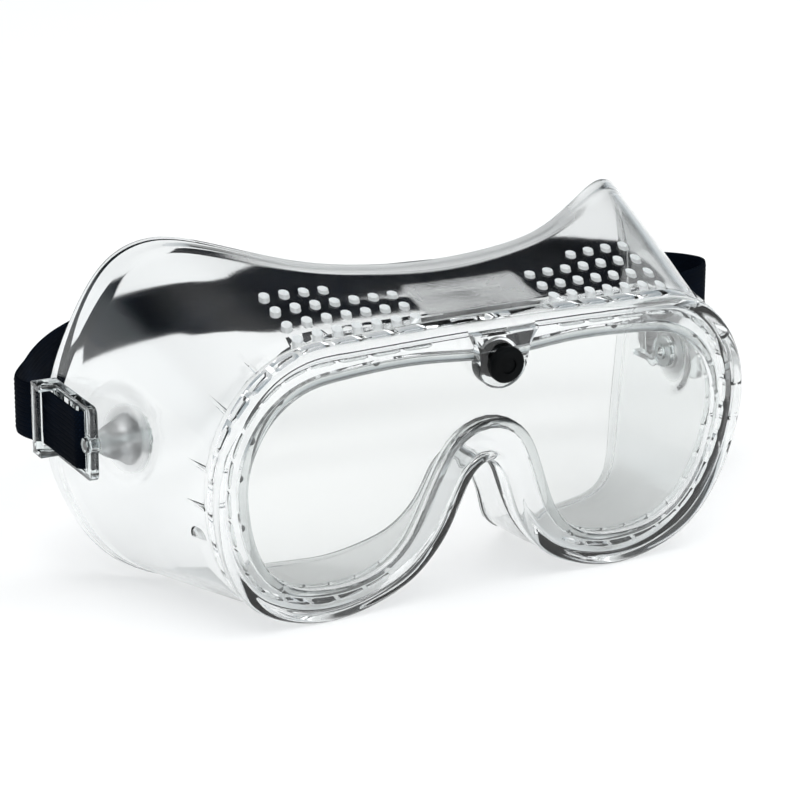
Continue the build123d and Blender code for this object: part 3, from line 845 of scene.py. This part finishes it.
def build_band():
    C, U = rounded_route(ROUTE, 0.7)
    tan = np.gradient(C, axis=0)
    tan /= np.linalg.norm(tan, axis=1)[:, None]
    nor = np.stack([-tan[:, 1], tan[:, 0]], -1)
    half_w, half_t = 7.5, 0.6
    # cross-section: ribbed faces, rounded edges
    nv = 49
    vs = np.linspace(-half_w + 0.35, half_w - 0.35, nv)
    rib = 0.07 * np.cos(vs * 2 * math.pi / 1.25)
    edge = 1 - 0.25 * np.exp(-((half_w - np.abs(vs)) / 0.6) ** 2)
    top = np.stack([(half_t - 0.09) * edge + rib, vs], -1)
    prof = list(top) + [(0.32, half_w - 0.08), (0.0, half_w), (-0.32, half_w - 0.08)]
    prof += [(-p[0], p[1]) for p in top[::-1]] + [(-0.32, -half_w + 0.08), (0.0, -half_w), (0.32, -half_w + 0.08)]
    prof = np.array(prof)
    m = len(prof)
    n = len(C)
    verts = np.zeros((n, m, 3))
    wave = 0.10 * np.sin(U / 17.0) + 0.07 * np.sin(U / 7.3 + 1.0)
    for i in range(n):
        verts[i, :, 0] = C[i, 0] + nor[i, 0] * prof[:, 0]
        verts[i, :, 1] = C[i, 1] + nor[i, 1] * prof[:, 0]
        verts[i, :, 2] = PIVOT_Z + prof[:, 1]
    faces = []
    for i in range(n - 1):
        for j in range(m):
            k = (j + 1) % m
            faces.append((i * m + j, i * m + k, (i + 1) * m + k, (i + 1) * m + j))
    faces.append(tuple(range(m))[::-1])
    faces.append(tuple((n - 1) * m + j for j in range(m)))
    me = bpy.data.meshes.new("elastic_band")
    me.from_pydata([tuple(v) for v in to_row(verts.reshape(-1, 3))], [], faces)
    uvl = me.uv_layers.new(name="band")
    for poly in me.polygons:
        for li in poly.loop_indices:
            vi = me.loops[li].vertex_index
            i, j = divmod(vi, m)
            uvl.data[li].uv = (U[i], prof[j, 1])
    me.polygons.foreach_set("use_smooth", [True] * len(me.polygons))
    ob = bpy.data.objects.new("elastic_band", me)
    scene.collection.objects.link(ob)
    return ob


band = build_band()
bm = bmesh.new(); bm.from_mesh(band.data); bmesh.ops.recalc_face_normals(bm, faces=bm.faces); bm.to_mesh(band.data); bm.free()
band.data.materials.append(ELASTIC)
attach(band, "band")
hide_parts("headband")

# ------------------------------------------------------------------ stage, light, camera
def build_stage():
    me = bpy.data.meshes.new("floor")
    s = 3.0
    me.from_pydata([(-s, -s, 0), (s, -s, 0), (s, s, 0), (-s, s, 0)], [], [(0, 1, 2, 3)])
    ob = bpy.data.objects.new("floor", me)
    scene.collection.objects.link(ob)
    m, nt, b = new_material("pale_floor")
    n1 = node(nt, "ShaderNodeTexNoise", Scale=3.0, Detail=2.0)
    nt.links.new(object_coords(nt), n1.inputs["Vector"])
    c = ramp(nt, n1.outputs[0], [(0.2, (0.90, 0.90, 0.90)), (0.8, (0.93, 0.93, 0.93))])
    nt.links.new(c.outputs[0], b.inputs["Base Color"])
    b.inputs["Roughness"].default_value = 0.9
    b.inputs["Specular IOR Level"].default_value = 0.1
    me.materials.append(m)
    return ob


build_stage()


def area(name, loc, target, size, power, color=(1, 1, 1)):
    L = bpy.data.lights.new(name, "AREA")
    L.shape = "RECTANGLE"
    L.size, L.size_y = size
    L.energy = power
    L.color = color
    ob = bpy.data.objects.new(name, L)
    scene.collection.objects.link(ob)
    ob.location = loc
    ob.rotation_euler = (Vector(target) - Vector(loc)).to_track_quat("-Z", "Y").to_euler()
    return ob


area("key", (-0.55, -0.75, 1.15), (0, 0, 0.03), (0.8, 0.8), 3.4)
fill = area("fill", (0.9, -0.35, 0.8), (0, 0, 0.03), (0.6, 0.6), 1.7)
fill.visible_glossy = False
sun = bpy.data.lights.new("overhead", "SUN")
sun.energy = 1.55
sun.angle = math.radians(75)
sun_ob = bpy.data.objects.new("overhead", sun)
scene.collection.objects.link(sun_ob)
sun_ob.visible_glossy = False                          # lights the piece, but is not mirrored in the clear walls
sun_ob.visible_transmission = False
sun_ob.rotation_euler = (math.radians(8), math.radians(-6), 0)

world = bpy.data.worlds.new("studio")
scene.world = world
world.use_nodes = True
nt = world.node_tree
nt.nodes.clear()
wo = nt.nodes.new("ShaderNodeOutputWorld")
bg = nt.nodes.new("ShaderNodeBackground")
nt.links.new(bg.outputs[0], wo.inputs[0])
tcw = nt.nodes.new("ShaderNodeTexCoord")
sz = nt.nodes.new("ShaderNodeSeparateXYZ")
nt.links.new(tcw.outputs["Generated"], sz.inputs[0])
# bright overhead and in front, dark low down and behind, so that clear edges draw as lines
cr = ramp(nt, sz.outputs[2], [(0.0, (0.80, 0.83, 0.85)), (0.14, (0.66, 0.71, 0.74)), (0.34, (0.42, 0.48, 0.52)), (0.58, (0.70, 0.73, 0.75)), (0.82, (0.97, 0.98, 0.98))])
behind = smooth_step(nt, sz.outputs[1], 0.10, 0.50)
aloft = math_node(nt, "MULTIPLY", smooth_step(nt, sz.outputs[2], 0.12, 0.34), 0.95)
dim = math_node(nt, "SUBTRACT", 1.0, math_node(nt, "MULTIPLY", behind, aloft))
vm = nt.nodes.new("ShaderNodeVectorMath")
vm.operation = "SCALE"
nt.links.new(cr.outputs[0], vm.inputs[0])
nt.links.new(dim, vm.inputs["Scale"])
nt.links.new(vm.outputs[0], bg.inputs[0])
bg.inputs[1].default_value = 0.95
pale = nt.nodes.new("ShaderNodeBackground")      # what lies past the floor's edge
pale.inputs[0].default_value = (1, 1, 1, 1)
path = nt.nodes.new("ShaderNodeLightPath")
pick = nt.nodes.new("ShaderNodeMixShader")
nt.links.new(path.outputs["Is Camera Ray"], pick.inputs[0])
nt.links.new(bg.outputs[0], pick.inputs[1])
nt.links.new(pale.outputs[0], pick.inputs[2])
nt.links.new(pick.outputs[0], wo.inputs[0])

scene.view_settings.view_transform = "Standard"

# camera fitted to the photographed view
A, E, DIST, ROLL = math.radians(30.0), math.radians(17.227), 765.0, math.radians(0.225)
TGT = np.array([0.0, 30.645, -38.538])
Fd = np.array([math.sin(A) * math.cos(E), math.cos(A) * math.cos(E), -math.sin(E)])
Rd = np.array([math.cos(A), -math.sin(A), 0.0])
Ud = np.cross(Rd, Fd)
R2c = Rd * math.cos(ROLL) + Ud * math.sin(ROLL)
U2c = -Rd * math.sin(ROLL) + Ud * math.cos(ROLL)
cam_data = bpy.data.cameras.new("camera")
cam_data.sensor_width = 36.0
cam_data.lens = 2911.75 * 36.0 / 800.0
cam_data.clip_start, cam_data.clip_end = 0.01, 20.0
cam = bpy.data.objects.new("camera", cam_data)
scene.collection.objects.link(cam)
M = Matrix(((R2c[0], U2c[0], -Fd[0], 0), (R2c[1], U2c[1], -Fd[1], 0), (R2c[2], U2c[2], -Fd[2], 0), (0, 0, 0, 1)))
M.translation = G(*(TGT - Fd * DIST))
cam.matrix_world = M
scene.camera = cam
